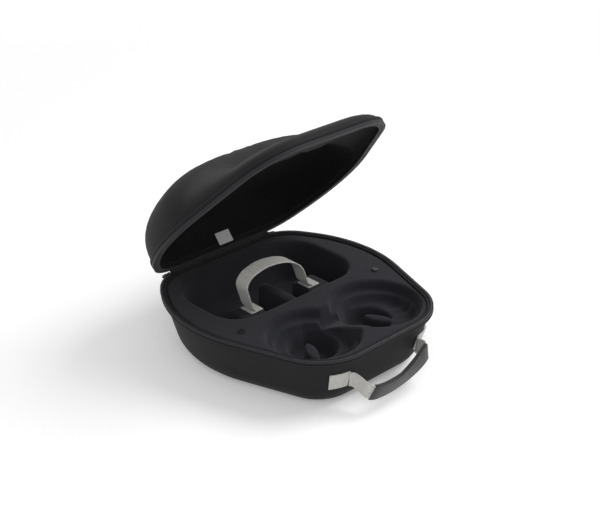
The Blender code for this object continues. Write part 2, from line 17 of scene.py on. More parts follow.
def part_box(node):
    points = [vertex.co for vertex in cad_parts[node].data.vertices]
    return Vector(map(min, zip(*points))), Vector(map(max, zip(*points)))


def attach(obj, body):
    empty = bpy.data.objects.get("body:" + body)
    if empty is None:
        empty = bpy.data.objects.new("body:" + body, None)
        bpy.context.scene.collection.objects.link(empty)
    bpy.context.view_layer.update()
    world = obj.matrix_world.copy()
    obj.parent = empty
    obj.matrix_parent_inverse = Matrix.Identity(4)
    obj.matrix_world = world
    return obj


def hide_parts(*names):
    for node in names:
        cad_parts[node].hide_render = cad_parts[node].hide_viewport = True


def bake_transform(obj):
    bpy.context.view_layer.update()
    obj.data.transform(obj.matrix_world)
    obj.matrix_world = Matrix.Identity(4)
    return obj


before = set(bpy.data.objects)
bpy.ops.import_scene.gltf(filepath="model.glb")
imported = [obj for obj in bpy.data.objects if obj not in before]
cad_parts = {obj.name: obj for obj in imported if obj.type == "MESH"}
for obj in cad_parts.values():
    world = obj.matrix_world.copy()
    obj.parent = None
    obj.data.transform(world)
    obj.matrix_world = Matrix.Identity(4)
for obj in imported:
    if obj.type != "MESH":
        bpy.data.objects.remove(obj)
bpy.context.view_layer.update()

# %% [markdown]
# ## The camera first
#
# Everything is framed as in one picture, so the camera comes first. It stands to the front left of the case
# and looks a little down on it. A long lens keeps the perspective as gentle as in the picture. Azimuth and
# elevation give the way back from the target to the lens.

# %% Camera
MM = 0.001
CAMERA_AZIMUTH = math.radians(-43.52)
CAMERA_ELEVATION = math.radians(27.48)
CAMERA_TARGET = Vector((45.58, 53.44, 70.0)) * MM
CAMERA_DISTANCE = 1.510
FOCAL_PIXELS = 1236.0
IMAGE_WIDTH = 600.0
SENSOR_WIDTH = 36.0

away = Vector(
    (
        math.sin(CAMERA_AZIMUTH) * math.cos(CAMERA_ELEVATION),
        -math.cos(CAMERA_AZIMUTH) * math.cos(CAMERA_ELEVATION),
        math.sin(CAMERA_ELEVATION),
    )
)
lens = bpy.data.cameras.new("portrait_camera")
lens.sensor_fit = "HORIZONTAL"
lens.sensor_width = SENSOR_WIDTH
lens.lens = SENSOR_WIDTH * FOCAL_PIXELS / IMAGE_WIDTH
camera = bpy.data.objects.new("portrait_camera", lens)
bpy.context.scene.collection.objects.link(camera)
camera.location = CAMERA_TARGET + away * CAMERA_DISTANCE
camera.rotation_euler = (-away).to_track_quat("-Z", "Y").to_euler()
bpy.context.scene.camera = camera
print("lens", round(lens.lens, 2), "mm")

# %% [markdown]
# ## Sums on sockets
#
# A finish is a small network of nodes. Wiring each Math node by hand hides the idea, so one class wraps a
# socket and lets Python's own operators add the nodes: `0.7 + 0.1 * noise` becomes a multiply and an add.


# %% A socket that understands arithmetic
class Reading:
    """An output socket in a network of nodes; sums on it become Math nodes."""

    def __init__(self, network, socket):
        self.network = network
        self.socket = socket

    def sum(self, operation, *terms):
        return self.network.node("ShaderNodeMath", {"operation": operation}, list(terms))

    def __add__(self, other):
        return self.sum("ADD", self, other)

    def __radd__(self, other):
        return self.sum("ADD", other, self)

    def __sub__(self, other):
        return self.sum("SUBTRACT", self, other)

    def __rsub__(self, other):
        return self.sum("SUBTRACT", other, self)

    def __mul__(self, other):
        return self.sum("MULTIPLY", self, other)

    def __rmul__(self, other):
        return self.sum("MULTIPLY", other, self)

    def __truediv__(self, other):
        return self.sum("DIVIDE", self, other)

    def __pow__(self, other):
        return self.sum("POWER", self, other)

    def __abs__(self):
        return self.sum("ABSOLUTE", self)

    def sine(self):
        return self.sum("SINE", self)

    def clamped(self):
        return self.network.node("ShaderNodeClamp", {}, [self, 0.0, 1.0])


print("sums are written on", Reading.__name__)

# %% [markdown]
# ## Networks and finishes
#
# Every other node comes from a single method, which takes its type, its settings and its inputs. A finish is
# such a network with a Principled shader at its end. What is the same all over is set on the shader's own
# sockets, and only what changes over the surface is linked to them.

# %% A network of nodes, and a finish
MIX_FACTOR, MIX_FIRST, MIX_SECOND = 0, 6, 7
MIX_COLOUR = 2


class Network:
    """A tree of nodes, to which one method adds every node."""

    def __init__(self, tree):
        self.tree = tree

    def node(self, kind, settings, inputs, output=0):
        """Add a node: its settings first, then its inputs by place or by name."""
        made = self.tree.nodes.new(kind)
        for key, value in settings.items():
            setattr(made, key, value)
        pairs = inputs.items() if isinstance(inputs, dict) else enumerate(inputs)
        for place, value in pairs:
            self.feed(made.inputs[place], value)
        return Reading(self, made.outputs[output])

    def feed(self, socket, value):
        if isinstance(value, Reading):
            self.tree.links.new(value.socket, socket)
        else:
            socket.default_value = value


class Finish(Network):
    """A material built from nodes, with one Principled shader at its end."""

    def __init__(self, name, **constants):
        self.material = bpy.data.materials.new(name)
        self.material.use_nodes = True
        super().__init__(self.material.node_tree)
        self.shader = self.tree.nodes["Principled BSDF"]
        self.shade(**constants)

    def shade(self, **channels):
        """Set what is constant, or link what changes over the surface, on the shader."""
        for channel, value in channels.items():
            self.feed(self.shader.inputs[channel.replace("_", " ")], value)
        return self.material

    def turned(self, reading, kind, turn):
        """Coordinates turned about X, to follow a tilted piece."""
        inputs = {"Vector": reading, "Rotation": (turn, 0, 0)}
        return self.node("ShaderNodeMapping", {"vector_type": kind}, inputs)

    def place(self, turn=0.0):
        """The piece's own coordinates in metres."""
        return self.turned(self.node("ShaderNodeTexCoord", {}, [], "Object"), "POINT", turn)

    def facing(self, turn=0.0):
        """The way the surface faces, in the same turned coordinates."""
        return self.turned(self.node("ShaderNodeTexCoord", {}, [], "Normal"), "NORMAL", turn)

    def parts(self, vector):
        """A vector's three numbers."""
        first = self.node("ShaderNodeSeparateXYZ", {}, [vector])
        return [Reading(self, output) for output in first.socket.node.outputs]

    def noise(self, vector, scale, detail=3.0, roughness=0.55):
        inputs = {"Vector": vector, "Scale": scale, "Detail": detail, "Roughness": roughness}
        return self.node("ShaderNodeTexNoise", {"noise_dimensions": "3D"}, inputs)

    def mixed(self, factor, first, second):
        """A colour between two colours."""
        inputs = {MIX_FACTOR: factor, MIX_FIRST: (*first, 1.0), MIX_SECOND: (*second, 1.0)}
        return self.node("ShaderNodeMix", {"data_type": "RGBA"}, inputs, MIX_COLOUR)

    def bump(self, height, strength, distance):
        inputs = {"Height": height, "Strength": strength, "Distance": distance}
        return self.node("ShaderNodeBump", {}, inputs)

    def weave(self, turn, pitch):
        """Over-and-under threads on whichever two axes the surface lies along."""
        x, y, z = [axis * (math.tau / pitch) for axis in self.parts(self.place(turn))]
        nx, ny, nz = [abs(axis) ** 4.0 for axis in self.parts(self.facing(turn))]
        sx, sy, sz = x.sine(), y.sine(), z.sine()
        total = nx + ny + nz
        return 0.5 + 0.5 * ((sx * sy * nz + sy * sz * nx + sx * sz * ny) / total)


print("finishes are built by", Finish.__name__)

# %% [markdown]
# ## The cloths
#
# Nearly all of the case is cloth, yet no two cloths match. The shells wear a tight black weave with a dry
# sheen. The tray is covered in a soft brushed cloth, a shade lighter and bluer. A picture of cloth could be
# wrapped round them, but it would stretch on the dome; threads worked out from the piece's own coordinates
# stay one size. Each finish varies its colour, roughness and bump from the same threads, so that light and
# shade agree. The lid stands open, so its threads are turned with it.

# %% Shell, lining and tray cloth
LID_OPEN = math.radians(46.5)
SHELL_THREAD = 1.1 * MM


def shell_cloth(name, turn, deep, pale):
    finish = Finish(name, Sheen_Weight=0.05, Sheen_Roughness=0.5, Specular_IOR_Level=0.16)
    spot = finish.place(turn)
    threads = finish.weave(turn, SHELL_THREAD)
    cloudy = finish.noise(spot, 38.0, 4.0)
    fuzz = finish.noise(spot, 900.0, 2.0)
    tone = (0.55 * threads + 0.65 * cloudy + 0.25 * fuzz - 0.22).clamped()
    height = threads * 0.8 + fuzz * 0.4
    return finish.shade(
        Base_Color=finish.mixed(tone, deep, pale),
        Roughness=0.70 + 0.16 * cloudy,
        Normal=finish.bump(height, 0.55, 0.00035),
    )


def brushed_cloth(name, deep, pale):
    finish = Finish(name, Sheen_Weight=0.07, Sheen_Roughness=0.6, Specular_IOR_Level=0.12)
    spot = finish.place()
    nap = finish.noise(spot, 260.0, 5.0, 0.7)
    swirl = finish.noise(spot, 22.0, 3.0)
    fuzz = finish.noise(spot, 1500.0, 2.0)
    tone = (0.55 * nap + 0.55 * swirl + 0.2 * fuzz - 0.15).clamped()
    return finish.shade(
        Base_Color=finish.mixed(tone, deep, pale),
        Roughness=0.82 + 0.14 * nap,
        Normal=finish.bump(nap * 0.6 + fuzz * 0.5, 0.25, 0.0003),
    )


SHELL_DEEP = (0.0052, 0.0050, 0.0060)
SHELL_PALE = (0.0125, 0.0122, 0.0142)
LINING_DEEP = (0.0012, 0.0012, 0.0015)
LINING_PALE = (0.0036, 0.0036, 0.0042)
BASE_CLOTH = shell_cloth("base_shell_cloth", 0.0, SHELL_DEEP, SHELL_PALE)
LID_CLOTH = shell_cloth("lid_shell_cloth", LID_OPEN, SHELL_DEEP, SHELL_PALE)
LINING_CLOTH = shell_cloth("lid_lining_cloth", LID_OPEN, LINING_DEEP, LINING_PALE)
TRAY_CLOTH = brushed_cloth("tray_brushed_cloth", (0.0088, 0.0092, 0.0122), (0.0205, 0.0212, 0.0268))
print("cloth for shells, lining and tray")

# %% [markdown]
# ## Tape and webbing
#
# The zip tape is a fine ribbed weave. The webbing is a pale grey melange, spun from light and dark yarn that
# runs along the strip, so its finish reads the strip's own UV map: metres along it, then metres across it.
# Object coordinates would be easier, but the yarn would cut across each bend.

# %% Tape and webbing finishes
TAPE_THREAD = 0.7 * MM
PICK_PITCH = 0.9 * MM
YARN_STRETCH = (220.0, 1500.0, 1.0)


def ribbed_tape(name, turn, deep, pale):
    finish = Finish(name, Sheen_Weight=0.06, Specular_IOR_Level=0.2)
    spot = finish.place(turn)
    threads = finish.weave(turn, TAPE_THREAD)
    worn = finish.noise(spot, 90.0, 3.0)
    tone = (0.55 * threads + 0.6 * worn - 0.1).clamped()
    return finish.shade(
        Base_Color=finish.mixed(tone, deep, pale),
        Roughness=0.66 + 0.2 * worn,
        Normal=finish.bump(threads, 0.35, 0.0002),
    )


def melange_webbing(name, deep, pale, ribs):
    finish = Finish(name, Sheen_Weight=0.3, Specular_IOR_Level=0.25)
    along_across = finish.node("ShaderNodeUVMap", {"uv_map": "UVMap"}, [])
    u, v, _ = finish.parts(along_across)
    cord = (v * (math.tau / ribs)).sine()
    picks = (u * (math.tau / PICK_PITCH)).sine()
    stretch = finish.node("ShaderNodeMapping", {}, {"Vector": along_across, "Scale": YARN_STRETCH})
    yarn = finish.noise(stretch, 1.0, 3.0, 0.7)
    fleck = finish.noise(finish.place(), 1300.0, 2.0)
    tone = (1.7 * yarn + 0.4 * fleck + 0.12 * cord + 0.08 * picks - 0.60).clamped()
    height = 0.5 * cord + 0.3 * picks + 0.4 * fleck
    return finish.shade(
        Base_Color=finish.mixed(tone, deep, pale),
        Roughness=0.78 + 0.15 * fleck,
        Normal=finish.bump(height, 0.45, 0.0003),
    )


TAPE_DEEP = (0.010, 0.010, 0.012)
TAPE_PALE = (0.030, 0.030, 0.034)
BASE_TAPE = ribbed_tape("base_tape_weave", 0.0, TAPE_DEEP, TAPE_PALE)
LID_TAPE = ribbed_tape("lid_tape_weave", LID_OPEN, TAPE_DEEP, TAPE_PALE)
GREY_WEBBING = melange_webbing("grey_melange_webbing", (0.20, 0.195, 0.185), (0.72, 0.71, 0.67), 1.25 * MM)
GRIP_CLOTH = melange_webbing("black_grip_weave", (0.007, 0.007, 0.008), (0.024, 0.024, 0.026), 0.9 * MM)
TAG_WEAVE = melange_webbing("pale_tag_weave", (0.44, 0.44, 0.43), (0.80, 0.80, 0.78), 0.5 * MM)
print("tape, webbing, grip and tag finishes")

# %% [markdown]
# ## Metal, plastic and thread
#
# The zip's sliders and pulls are metal with a black coat, scuffed here and there. The studs and the zip's
# coil are plain moulded plastic with a fine grain. Thread is a thin twisted yarn, paler than what it sews.
# Noise at two sizes is enough for each, because they are seen only small.

# %% Small parts' finishes
METAL_DEEP = (0.030, 0.030, 0.033)
METAL_PALE = (0.085, 0.085, 0.09)


def coated_metal(name):
    finish = Finish(name, Metallic=0.85, Specular_IOR_Level=0.5)
    scuff = finish.noise(finish.place(), 420.0, 4.0, 0.7)
    return finish.shade(
        Base_Color=finish.mixed((scuff * 1.6 - 0.6).clamped(), METAL_DEEP, METAL_PALE),
        Roughness=0.30 + 0.25 * scuff,
        Normal=finish.bump(scuff, 0.08, 0.0002),
    )


def moulded_plastic(name, colour):
    finish = Finish(name, Specular_IOR_Level=0.45)
    spot = finish.place()
    grain = finish.noise(spot, 1800.0, 2.0)
    smudge = finish.noise(spot, 120.0, 3.0)
    paler = tuple(c * 1.7 for c in colour)
    return finish.shade(
        Base_Color=finish.mixed(smudge, colour, paler),
        Roughness=0.38 + 0.22 * smudge,
        Normal=finish.bump(grain, 0.12, 0.0001),
    )


def sewing_thread(name, colour):
    finish = Finish(name, Sheen_Weight=0.2)
    twist = finish.noise(finish.place(), 2600.0, 2.0)
    paler = tuple(min(1.0, c * 1.5) for c in colour)
    return finish.shade(
        Base_Color=finish.mixed(twist, colour, paler),
        Roughness=0.6 + 0.2 * twist,
        Normal=finish.bump(twist, 0.2, 0.0001),
    )


COIL_NYLON = moulded_plastic("coil_nylon", (0.016, 0.016, 0.018))
ZIP_METAL = coated_metal("black_coated_zip_metal")
STUD_PLASTIC = moulded_plastic("stud_plastic", (0.004, 0.004, 0.0045))
PALE_THREAD = sewing_thread("pale_thread", (0.40, 0.39, 0.37))
DARK_THREAD = sewing_thread("dark_thread", (0.022, 0.022, 0.024))
print("materials:", len(bpy.data.materials))

# %% [markdown]
# ## Helpers for the bench
#
# Blender's operators act on whatever is selected, so each step starts with nothing selected and then picks
# its vertices by their place. These helpers draw a few points, pick some, apply a modifier, and hand a
# finished piece to the body it moves with.


# %% Draw, pick, apply
def deselect():
    if bpy.context.object and bpy.context.object.mode != "OBJECT":
        bpy.ops.object.mode_set(mode="OBJECT")
    bpy.ops.object.select_all(action="DESELECT")


def choose(piece):
    """Make a piece active and alone in the selection."""
    deselect()
    bpy.context.view_layer.objects.active = piece
    piece.select_set(True)


def added(name, mesh):
    """A new chosen object that holds a mesh."""
    piece = bpy.data.objects.new(name, mesh)
    bpy.context.scene.collection.objects.link(piece)
    choose(piece)
    return piece


def drawn(name, points, edges=()):
    """A new object from a few drawn points."""
    mesh = bpy.data.meshes.new(name)
    mesh.from_pydata([tuple(p) for p in points], list(edges), [])
    return added(name, mesh)


def chain(count, closed=False, first=0):
    """The edges that join points in a row."""
    edges = [(first + i, first + i + 1) for i in range(count - 1)]
    if closed:
        edges.append((first + count - 1, first))
    return edges


def edit_all():
    bpy.ops.object.mode_set(mode="EDIT")
    bpy.ops.mesh.select_all(action="SELECT")


def pick(piece, wanted):
    """In edit mode, select the vertices whose place passes a test."""
    bm = bmesh.from_edit_mesh(piece.data)
    bpy.ops.mesh.select_all(action="DESELECT")
    for vert in bm.verts:
        vert.select = bool(wanted(vert))
    bm.select_flush_mode()
    bmesh.update_edit_mesh(piece.data)


def apply(piece, kind, **settings):
    """Add a modifier, set it up and apply it."""
    choose(piece)
    modifier = piece.modifiers.new(kind.lower(), kind)
    for key, value in settings.items():
        setattr(modifier, key, value)
    bpy.ops.object.modifier_apply(modifier=modifier.name)


print("bench ready")

# %% Finish a piece
MERGE = 1e-6


def point_outwards(piece):
    choose(piece)
    edit_all()
    bpy.ops.mesh.remove_doubles(threshold=MERGE)
    bpy.ops.mesh.normals_make_consistent(inside=False)
    bpy.ops.object.mode_set(mode="OBJECT")


def dress(piece, material, body, nodes, smooth=40.0):
    """Give a piece its material, its body (none if it bends between two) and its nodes."""
    piece.data.materials.clear()
    piece.data.materials.append(material)
    choose(piece)
    bpy.ops.object.shade_smooth_by_angle(angle=math.radians(smooth))
    if body:
        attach(piece, body)
    if nodes:
        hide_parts(*nodes)
    print(piece.name, len(piece.data.polygons), "faces on", body or "two bodies")
    return piece


print("pieces closer than", MERGE, "m are merged")

# %% [markdown]
# ## The plan of the rim
#
# Seen from above, the case is drawn with three arcs on each side: a front corner, a long flank and a rear
# corner, with the straight hinge between the rear corners. Where two arcs meet they share a tangent, and its
# direction follows from their centres and radii.

# %% Plan
RIM_Z = 70 * MM
FRONT_CENTRE, FRONT_R = Vector((45, -70, 0)) * MM, 70 * MM
FLANK_CENTRE, FLANK_R = Vector((-15, 30, 0)) * MM, 160 * MM
REAR_CENTRE, REAR_R = Vector((66, 93, 0)) * MM, 58 * MM
QUARTER = math.pi / 2
ZIP_END = math.radians(80.0)


def facing_out(turn):
    return Vector((math.cos(turn), math.sin(turn), 0.0))


def shared_turn(near, near_r, far, far_r):
    """The direction in which two arcs have a common tangent."""
    step = far - near
    return math.atan2(step.y, step.x) - math.acos((near_r - far_r) / step.length)


FRONT_TO_FLANK = shared_turn(FRONT_CENTRE, FRONT_R, FLANK_CENTRE, FLANK_R)
FLANK_TO_REAR = shared_turn(FLANK_CENTRE, FLANK_R, REAR_CENTRE, REAR_R)
print("arcs meet at", [round(math.degrees(turn), 1) for turn in (FRONT_TO_FLANK, FLANK_TO_REAR)])

# %% [markdown]
# Sweeping a section round that plan makes the shell, the piping and the zip. A curve with a bevel could do
# it, but its section would turn at the corners. By hand it is one drawn section, then *extrude* along each
# straight and *spin* about each arc's centre, and a mirror for the other half. The same steps run here.

# %% Sweep a section round the rim
REAR_STEPS, FLANK_STEPS, FRONT_STEPS = 14, 14, 18
SEAM = 1e-5


def slide(x, y, z=0.0):
    bpy.ops.mesh.extrude_region_move(TRANSFORM_OT_translate={"value": (x, y, z)})


def turn_about(centre, angle, steps):
    bpy.ops.mesh.spin(steps=steps, angle=angle, center=centre, axis=(0, 0, 1), dupli=False)


def carry_round(name, section, closed, start=QUARTER):
    """Sweep a section of insets and heights round the right half of the rim, and mirror it."""
    way = facing_out(start)
    points = []
    for inset, height in section:
        spot = REAR_CENTRE + way * (REAR_R - inset)
        points.append((0.0 if start == QUARTER else spot.x, spot.y, RIM_Z + height))
    count = len(points)
    piece = drawn(name, points, chain(count, closed))
    edit_all()
    if start == QUARTER:
        slide(REAR_CENTRE.x, 0.0)
    turn_about(REAR_CENTRE, start - FLANK_TO_REAR, REAR_STEPS)
    leg = FLANK_CENTRE - REAR_CENTRE + facing_out(FLANK_TO_REAR) * (FLANK_R - REAR_R)
    slide(leg.x, leg.y)
    turn_about(FLANK_CENTRE, FLANK_TO_REAR - FRONT_TO_FLANK, FLANK_STEPS)
    leg = FRONT_CENTRE - FLANK_CENTRE + facing_out(FRONT_TO_FLANK) * (FRONT_R - FLANK_R)
    slide(leg.x, leg.y)
    turn_about(FRONT_CENTRE, FRONT_TO_FLANK + QUARTER, FRONT_STEPS)
    slide(-FRONT_CENTRE.x, 0.0)
    if closed and start != QUARTER:
        pick(piece, lambda vert: vert.index < count)
        bpy.ops.mesh.edge_face_add()
    bpy.ops.object.mode_set(mode="OBJECT")
    apply(piece, "MIRROR", use_axis=(True, False, False), merge_threshold=SEAM)
    return piece


def rim_piece(name, section, material, node, smooth=40.0, start=ZIP_END, turn=None):
    """A closed section in mm, swept round the rim, and turned with the lid where it belongs to it."""
    piece = carry_round(name, [(inset * MM, height * MM) for inset, height in section], True, start)
    point_outwards(piece)
    if turn:
        piece.data.transform(turn)
    return dress(piece, material, "lid" if turn else "base", [node], smooth)


print("a sweep has", 2 * (REAR_STEPS + FLANK_STEPS + FRONT_STEPS), "turned steps")

# %% [markdown]
# ## The base shell
#
# The real shell is a sheet of foam with cloth on both faces, pressed in a mould: a drafted wall that rolls
# into a flat bottom. A bevelled block would give the wall but not its draft and roll together. Here its
# section is a straight line and a quarter round, swept round the plan. The hole left in the bottom is closed
# with one face, and Solidify gives the foam its thickness, inwards.

# %% Base shell
WALL_DRAFT = math.radians(15.0)
BOTTOM_R = 28 * MM
SHELL_INSET = 2.3 * MM
SHELL_WALL = 4 * MM
WALL_HEIGHTS = [67.8, 60, 50, 40, 30]
ROLL_STEPS = 10


def wall_inset(height):
    return SHELL_INSET + (RIM_Z - height) * math.tan(WALL_DRAFT)


def shell_section():
    rows = [(wall_inset(z * MM), z * MM - RIM_Z) for z in WALL_HEIGHTS]
    start = BOTTOM_R * (1 - math.sin(WALL_DRAFT))
    centre = wall_inset(start) + BOTTOM_R * math.cos(WALL_DRAFT)
    for i in range(ROLL_STEPS + 1):
        turn = WALL_DRAFT + (QUARTER - WALL_DRAFT) * i / ROLL_STEPS
        rows.append((centre - BOTTOM_R * math.cos(turn), BOTTOM_R * (1 - math.sin(turn)) - RIM_Z))
    return rows


base_shell = carry_round("base_shell_skin", shell_section(), False)
bpy.ops.object.mode_set(mode="EDIT")
pick(base_shell, lambda vert: vert.co.z < MERGE and vert.is_boundary)
bpy.ops.mesh.edge_face_add()
bpy.ops.object.mode_set(mode="OBJECT")
point_outwards(base_shell)
apply(base_shell, "SOLIDIFY", thickness=SHELL_WALL, offset=-1.0, use_even_offset=True)
dress(base_shell, BASE_CLOTH, "base", ["base_shell"])

# %% [markdown]
# ## Piping and zip tape
#
# Under the rim runs a rolled piping, and above it the woven zip tape and the nylon coil. All three stop at
# the hinge. They could be curves with a round bevel, but the tape is flat and the piping is flat behind. So
# they are swept like the shell, but from a closed section, and their cut ends are capped.

# %% Base piping, tape and coil
BASE_BEAD = [
    (0.9, -3.4), (0.35, -3.8), (0.05, -4.4), (0.0, -5.1), (0.1, -5.8),
    (0.5, -6.4), (1.2, -6.8), (3.2, -6.8), (2.5, -3.4),
]
TAPE = [(0.45, 0.2), (0.3, 0.5), (0.3, 1.6), (0.3, 2.8), (0.5, 3.1), (1.5, 3.1), (1.5, 0.2)]
COIL = [(1.8, 0.6), (1.8, 1.5), (2.6, 1.9), (3.4, 1.5), (3.4, 0.6), (2.6, 0.2)]
BASE_TAPE_SECTION = [(inset, -height) for inset, height in TAPE]
BASE_COIL_SECTION = [(inset, -height) for inset, height in COIL]
rim_piece("base_piping", BASE_BEAD, BASE_CLOTH, "base_binding", 60.0)
rim_piece("base_zip_tape_strip", BASE_TAPE_SECTION, BASE_TAPE, "base_zip_tape")
rim_piece("base_coil_core", BASE_COIL_SECTION, COIL_NYLON, "base_zip_coil", 60.0)

# %% [markdown]
# A coil zip is a row of nylon loops. An array along a curve would lean at the corners, so the plan's arcs and
# straights are walked instead. One loop is a small block, made once, and its copies stand every 1.7 mm.

# %% Zip loops
LOOP_PITCH = 1.7 * MM
LOOP_INSET = 2.6 * MM
LOOP_HEIGHT = 1.05 * MM
LOOP_SIZE = Matrix.Diagonal((1.9 * MM, 0.75 * MM, 1.5 * MM, 1.0))


def walk_rim(pitch, inset):
    """Places and outward ways along the right half of the zip, a steady distance apart."""
    legs = [(REAR_CENTRE, REAR_R, ZIP_END, FLANK_TO_REAR)]
    legs.append((FLANK_CENTRE, FLANK_R, FLANK_TO_REAR, FRONT_TO_FLANK))
    legs.append((FRONT_CENTRE, FRONT_R, FRONT_TO_FLANK, -QUARTER))
    stops = []
    for number, (centre, radius, first, last) in enumerate(legs):
        count = round((first - last) * radius / pitch)
        for i in range(count + 1):
            way = facing_out(first + (last - first) * i / count)
            stops.append((centre + way * (radius - inset), way))
        start = stops[-1][0]
        end = Vector((0.0, start.y, 0.0))
        if number + 1 < len(legs):
            following, following_r = legs[number + 1][:2]
            end = following + way * (following_r - inset)
        count = round((end - start).length / pitch)
        stops += [(start.lerp(end, (i + 1) / count), way) for i in range(count)]
    return stops


def copies(name, single, places):
    """One object with a copy of a small piece at each place; the small piece is then removed."""
    bm = bmesh.new()
    for place in places:
        start = len(bm.verts)
        bm.from_mesh(single.data)
        bm.verts.ensure_lookup_table()
        bmesh.ops.transform(bm, matrix=place, verts=bm.verts[start:])
    bpy.data.objects.remove(single)
    rows = drawn(name, [])
    bm.to_mesh(rows.data)
    bm.free()
    return rows


def zip_loops(name, height, body, turn):
    deselect()
    bpy.ops.mesh.primitive_cube_add(size=1.0)
    single = bpy.context.object
    places = []
    for side in (1, -1):
        for spot, way in walk_rim(LOOP_PITCH, LOOP_INSET):
            place = Matrix.Translation((side * spot.x, spot.y, RIM_Z + height))
            facing = Matrix.Rotation(math.atan2(way.y, side * way.x), 4, "Z")
            places.append(turn @ place @ facing @ LOOP_SIZE)
    return dress(copies(name, single, places), COIL_NYLON, body, [], 20.0)


zip_loops("base_coil_loops", -LOOP_HEIGHT, "base", Matrix.Identity(4))

# %% [markdown]
# ## The tray
#
# The tray is one moulding with no sharp edge anywhere: foam pressed under cloth rounds every lip. Bevelling
# each edge by hand would take long and fail where three edges meet. The solid already holds the hollows and
# steps, so a copy of it is merged into one skin, remeshed in small voxels, and relaxed, which rolls each
# edge over as the mould does.

# %% Tray moulding
VOXEL = 1.7 * MM


def copy_of(node, name):
    piece = added(name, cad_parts[node].data.copy())
    edit_all()
    bpy.ops.mesh.remove_doubles(threshold=MERGE)
    bpy.ops.object.mode_set(mode="OBJECT")
    return piece


tray = copy_of("tray_insert", "tray_moulding")
apply(tray, "REMESH", mode="VOXEL", voxel_size=VOXEL)
apply(tray, "SMOOTH", factor=0.5, iterations=3)
print("tray has", len(tray.data.vertices), "points")

# %% [markdown]
# Cloth that is drawn deep into a mould puckers. A cloth simulation could show it, but here the cloth is
# bonded to its foam, so the folds are shallow and stay put: each vertex on a cup's wall moves along its own
# normal by a wave that runs round the cup and fades out towards the rim and the middle. The saddle between
# the cups is also levelled off where it meets the land.

# %% Folds in the cups
LAND_Z = 67.2 * MM
CUP_MIDDLE = Vector((51, -72)) * MM
FOLD_REACH = 50 * MM
FOLD_RADIUS, FOLD_SPREAD = 40 * MM, 8 * MM
FOLD_TOP, FOLD_FADE = 58 * MM, 6 * MM
FOLD_DEPTH = 1.3 * MM


def fold_wave(turn, side):
    crowding = 2.6 * math.sin(3 * turn + 0.7 * side)
    return math.sin(9 * turn + crowding) * (0.55 + 0.45 * math.sin(2 * turn + side))


faced = [vert.normal.copy() for vert in tray.data.vertices]
for vert, normal in zip(tray.data.vertices, faced):
    vert.co.z = min(vert.co.z, LAND_Z)
    side = 1 if vert.co.x > 0 else -1
    offset = Vector((side * vert.co.x - CUP_MIDDLE.x, vert.co.y - CUP_MIDDLE.y))
    depth = min(max((FOLD_TOP - vert.co.z) / FOLD_FADE, 0.0), 1.0)
    if offset.length > FOLD_REACH or depth == 0.0:
        continue
    near_wall = math.exp(-(((offset.length - FOLD_RADIUS) / FOLD_SPREAD) ** 2))
    wave = fold_wave(math.atan2(offset.y, offset.x), side)
    vert.co += normal * (FOLD_DEPTH * wave * near_wall * depth)
dress(tray, TRAY_CLOTH, "base", ["tray_insert"], 80.0)

# %% [markdown]
# ## The lid
#
# The lid follows the same plan and rises to a dome: high and round over the rear hollow, then stepping down
# to a lower lobe in front. It could be sculpted, but its wall must stay even. By hand it is a ring of edges,
# extruded and scaled inwards again and again, with each new ring lifted to its height. It is shaped shut and
# then turned open about the hinge line.

# %% Lid dome
LID_REAR = 73 * MM
LID_FRONT = 33 * MM
LID_FOOT = 3.2 * MM
LID_STEP_FROM, LID_STEP_LENGTH = -42 * MM, 58 * MM
LID_CENTRE = Vector((0.0, 21 * MM, 0.0))
LID_FULLNESS = 2.8
DOME_TURNS = [4, 8, 12, 17, 22, 28, 34, 40, 46, 52, 58, 64, 70, 76, 81, 85, 88]
HINGE_LINE = Vector((0.0, 151 * MM, RIM_Z))
OPENING = Matrix.Rotation(-LID_OPEN, 4, "X")
LID_TURN = Matrix.Translation(HINGE_LINE) @ OPENING @ Matrix.Translation(-HINGE_LINE)


def lid_height(y):
    t = min(max((y - LID_STEP_FROM) / LID_STEP_LENGTH, 0.0), 1.0)
    return LID_FRONT + (LID_REAR - LID_FRONT) * t * t * (3 - 2 * t)


def dome_skin(name, first):
    """The dome's outer face, shut, from a few degrees above its foot to the crown."""
    piece = carry_round(name, [(SHELL_INSET, 0.0)], False)
    edit_all()
    shrink = 1.0
    for number, degrees in enumerate([first, *DOME_TURNS]):
        turn = math.radians(degrees)
        wanted = math.cos(turn) ** (2 / LID_FULLNESS)
        rise = math.sin(turn) ** (2 / LID_FULLNESS)
        if number:
            bpy.ops.mesh.extrude_edges_move()
        factor = wanted / shrink
        bpy.ops.transform.resize(value=(factor, factor, 1.0), center_override=LID_CENTRE)
        shrink = wanted
        bm = bmesh.from_edit_mesh(piece.data)
        for vert in bm.verts:
            if vert.select:
                vert.co.z = RIM_Z + LID_FOOT + (lid_height(vert.co.y) - LID_FOOT) * rise
        bmesh.update_edit_mesh(piece.data)
    bpy.ops.mesh.extrude_edges_move()
    bpy.ops.mesh.merge(type="CENTER")
    bpy.ops.object.mode_set(mode="OBJECT")
    point_outwards(piece)
    return piece


lid_shell = dome_skin("lid_shell_skin", 0.0)
apply(lid_shell, "SOLIDIFY", thickness=SHELL_WALL, offset=-1.0, use_even_offset=True)
lid_shell.data.transform(LID_TURN)
dress(lid_shell, LID_CLOTH, "lid", ["lid_shell"], 60.0)

# %% [markdown]
# The lining is a thinner, darker cloth inside the foam. It is the same dome again, moved in along its normals
# by the foam's thickness, which keeps an even gap that a scaled copy wouldn't.

